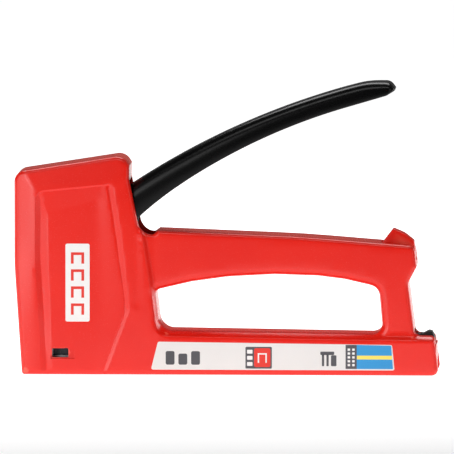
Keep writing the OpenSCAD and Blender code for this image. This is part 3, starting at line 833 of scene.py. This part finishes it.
def make_strip(side, tag):
    """The strip on the beam: bars, a boxed staple, a small tool, a block of ticks, a two-colour field."""
    decal(f"strip_{tag}", [outline(STRIP, 15.0)], HEAD_HALF - 0.02, 0.10, PAPER, side,
          "side_labels" if side == 1 else None)
    face = HEAD_HALF + 0.06
    over, top = face + INK_STEP, face + 2 * INK_STEP
    bars = [rounded_box(-26.5 + 5.6 * k, 4.6, -22.6 + 5.6 * k, 10.6 - 1.1 * (k % 2), 0.8) for k in range(3)]
    decal(f"strip_bars_{tag}", bars, face, INK_DEPTH, INK, side)
    decal(f"strip_frame_{tag}", [rounded_box(8.6, 3.0, 20.2, 12.6, 0.5)], face, INK_DEPTH, INK, side)
    decal(f"strip_field_{tag}", [rounded_box(12.4, 3.7, 19.6, 12.0, 0.8)], over, INK_DEPTH, INK_RED, side)
    marks = [staple_icon(14.0, 5.6, 4.0, 4.2, 0.6)]
    marks += [rounded_box(9.3, 4.2 + 2.7 * k, 11.7, 5.9 + 2.7 * k, 0.3) for k in range(3)]
    decal(f"strip_marks_{tag}", marks, top, INK_DEPTH, WHITE, side)
    tool = [rounded_box(41.5, 9.1, 47.6, 10.6, 0.4), rounded_box(42.2, 4.2, 43.2, 9.4, 0.2),
            rounded_box(44.2, 4.2, 45.2, 9.4, 0.2), rounded_box(46.2, 4.2, 48.6, 9.0, 0.4)]
    decal(f"strip_tool_{tag}", tool, face, INK_DEPTH, INK, side)
    decal(f"strip_block_{tag}", [rounded_box(52.6, 3.0, 57.5, 13.6, 0.1)], face, INK_DEPTH, INK, side)
    ticks = [rounded_box(53.5 + 2 * c, 4.2 + 1.7 * k, 54.6 + 2 * c, 5.2 + 1.7 * k, 0.15)
             for c in range(2) for k in range(5)]
    decal(f"strip_ticks_{tag}", ticks, over, INK_DEPTH, WHITE, side)
    decal(f"strip_blue_{tag}", [outline(BLUE_FIELD, 15.0)], face, INK_DEPTH, INK_BLUE, side)
    decal(f"strip_yellow_{tag}", [rounded_box(57.6, 7.2, 73.0, 8.9, 0.1)], over, INK_DEPTH, INK_YELLOW, side)


def make_badge(side, tag):
    """The white box on the head's panel with four staples, leaning as the panel does."""
    floor = HEAD_HALF - PLATEAU + BADGE_LEAN * BADGE_TOP
    decal(f"badge_{tag}", [rounded_box(-70.6, 23.4, -60, BADGE_TOP, 0.8)], floor - 0.4, 0.5, WHITE, side,
          "head_badges" if side == 1 else None, BADGE_LEAN)
    rows = [staple_icon(-68.2, 26.4 + 7.5 * k, 5.8, 5.0, 1.2) for k in range(4)]
    decal(f"badge_marks_{tag}", rows, floor + 0.08, 0.05, INK_RED, side, None, BADGE_LEAN)


def make_labels():
    for side, tag in ((1, "left"), (-1, "right")):
        make_strip(side, tag)
        make_badge(side, tag)


# ---------------------------------------------------------------- tail latch
LATCH_PAD = [
    [83.2, 15.3, 0.2], [83.2, 17.3, 0.6], [86.6, 17.8, 2], [88.7, 19.0, 1], [90.3, 18.7, 0.9],
    [91.4, 16.4, 0.8], [91.4, 14.4, 0.2], [86.5, 14.4, 0.2],
]


def make_latch():
    top = extruded("latch_pad", outline(LATCH_PAD), -5.4, 5.4, 0.4)
    finish(top, CAP_BLACK, "catch", "latch")
    tongue = box_object((80.6, -5, 15.4), (83.4, 5, 17.4), 0.25)
    tongue.name = "latch_tongue"
    finish(tongue, CAP_BLACK, "catch", None)
    for k in range(3):
        ridge = box_object((83.8 + 1.4 * k, -4.6, 16.9), (84.5 + 1.4 * k, 4.6, 17.85 + 0.1 * k), 0.25)
        ridge.name = f"latch_ridge_{k}"
        finish(ridge, CAP_BLACK, "catch", None)
    leg = box_object((88.9, -4.4, 8.2), (91, 4.4, 14.8), 0.3)
    leg.name = "latch_leg"
    finish(leg, CAP_BLACK, "catch", None)


# ---------------------------------------------------------------- carried-over steel parts
NODE_FINISH = {
    "housing_screws": SCREW, "locating_pins": ZINC, "lever_pin": ZINC, "pivot_washers": ZINC,
    "lever_arm": ZINC, "lever_rivets": ZINC, "spring_seat": GROUND, "hammer": GROUND, "hammer_pins": ZINC,
    "driver_blade": GROUND, "blade_rivets": ZINC, "bumper": RUBBER, "nose_plate": ZINC,
    "magazine_channel": ZINC, "magazine_core": ZINC, "guide_rod": ZINC, "pusher": BLUED, "rear_cap": RED,
    "cap_pin": ZINC, "latch_pin": ZINC, "latch_spring": WIRE,
}


def finish_nodes():
    """Gives the CAD nodes that stay visible their materials."""
    for name, mat in NODE_FINISH.items():
        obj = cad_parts[name]
        if not obj.material_slots:
            obj.data.materials.append(mat)
        for place in obj.material_slots:
            place.material = mat


# ---------------------------------------------------------------- stage, camera, light
AZIMUTH, ELEVATION = math.radians(2.6), math.radians(4.3)
DISTANCE = 6.0
VIEW_WIDTH = 0.1998
SENSOR_WIDTH = 36
TARGET = Vector((-0.0002, 0, 0.0642))
TONE_START_Y, TONE_END_Y = -0.62, 1.5
LIGHT_TARGET = Vector((0, 0, 0.06))


def make_stage():
    """A plain pale floor that glows most behind the tool, and is dark from half a metre in front of it."""
    mat, nodes, links, bsdf = new_material("pale_floor")
    coords = nodes.new("ShaderNodeTexCoord")
    split = nodes.new("ShaderNodeSeparateXYZ")
    links.new(coords.outputs["Object"], split.inputs["Vector"])
    grain = ramp(nodes, links, noise(nodes, links, coords, 3.0), (0.90, 0.90, 0.90), (0.92, 0.92, 0.92))
    place = nodes.new("ShaderNodeMapRange")
    place.inputs["From Min"].default_value = TONE_START_Y
    place.inputs["From Max"].default_value = TONE_END_Y
    links.new(split.outputs["Y"], place.inputs["Value"])
    front = ramp(nodes, links, place.outputs["Result"], (0.04, 0.04, 0.04), (1, 1, 1), (0.0, 0.06))
    glow = ramp(nodes, links, place.outputs["Result"], (0.2, 0.2, 0.2), (0.95, 0.95, 0.95), (0.10, 0.30))
    for colour, socket in ((grain, "Base Color"), (glow, "Emission Color")):
        tint = nodes.new("ShaderNodeMix")
        tint.data_type = "RGBA"
        tint.blend_type = "MULTIPLY"
        tint.inputs["Factor"].default_value = 1.0
        links.new(colour, tint.inputs["A"])
        links.new(front, tint.inputs["B"])
        links.new(tint.outputs["Result"], bsdf.inputs[socket])
    bsdf.inputs["Emission Strength"].default_value = 1.0
    bsdf.inputs["Roughness"].default_value = 0.9
    bsdf.inputs["Specular IOR Level"].default_value = 0.1
    bm = bmesh.new()
    bmesh.ops.create_grid(bm, x_segments=1, y_segments=1, size=12)
    floor = to_object("floor", bm)
    floor.data.materials.append(mat)


def make_camera():
    data = bpy.data.cameras.new("camera")
    data.sensor_width = SENSOR_WIDTH
    data.lens = SENSOR_WIDTH * DISTANCE / VIEW_WIDTH
    data.clip_end = 20
    camera = bpy.data.objects.new("camera", data)
    bpy.context.scene.collection.objects.link(camera)
    towards = Vector((math.sin(AZIMUTH) * math.cos(ELEVATION), -math.cos(AZIMUTH) * math.cos(ELEVATION),
                      math.sin(ELEVATION)))
    camera.location = TARGET + towards * DISTANCE
    camera.rotation_euler = (-towards).to_track_quat("-Z", "Y").to_euler()
    bpy.context.scene.camera = camera


def area_light(name, place, size, power):
    """A white rectangle of light that faces the tool."""
    data = bpy.data.lights.new(name, "AREA")
    data.shape = "RECTANGLE"
    data.size, data.size_y = size
    data.energy = power
    light = bpy.data.objects.new(name, data)
    light.location = place
    light.rotation_euler = (Vector(place) - LIGHT_TARGET).to_track_quat("Z", "Y").to_euler()
    bpy.context.scene.collection.objects.link(light)


def make_world():
    """A dim room, darkest in front of the tool."""
    world = bpy.data.worlds.new("studio")
    world.use_nodes = True
    nodes, links = world.node_tree.nodes, world.node_tree.links
    coords = nodes.new("ShaderNodeTexCoord")
    split = nodes.new("ShaderNodeSeparateXYZ")
    links.new(coords.outputs["Generated"], split.inputs["Vector"])
    shift = nodes.new("ShaderNodeMapRange")
    shift.inputs["From Min"].default_value = -1.0
    links.new(split.outputs["Y"], shift.inputs["Value"])
    colour = ramp(nodes, links, shift.outputs["Result"], (0.08, 0.08, 0.08), (0.14, 0.14, 0.14), (0.3, 0.9))
    links.new(colour, nodes["Background"].inputs["Color"])
    nodes["Background"].inputs["Strength"].default_value = 0.6
    bpy.context.scene.world = world


def make_light():
    area_light("key_left", (-0.48, -0.78, 0.26), (0.45, 0.65), 1.9)
    area_light("glare_left", (-0.37, -0.82, 0.15), (0.1, 0.3), 0.66)
    area_light("strip_left", (-1.1, -0.85, 0.30), (0.2, 0.7), 2.6)
    area_light("fill_right", (1.0, -0.8, 0.30), (0.5, 0.9), 1.3)
    area_light("top", (0.0, -0.60, 1.0), (1.1, 0.22), 2.4)
    area_light("overhead", (0.0, 0.7, 1.15), (1.0, 0.6), 9)
    area_light("back_right", (1.1, 0.75, 0.32), (0.5, 0.6), 4)
    make_world()
    bpy.context.scene.view_settings.view_transform = "Standard"


make_camera()
make_casing()
make_lever()
make_springs()
make_labels()
make_latch()
finish_nodes()
make_stage()
make_light()
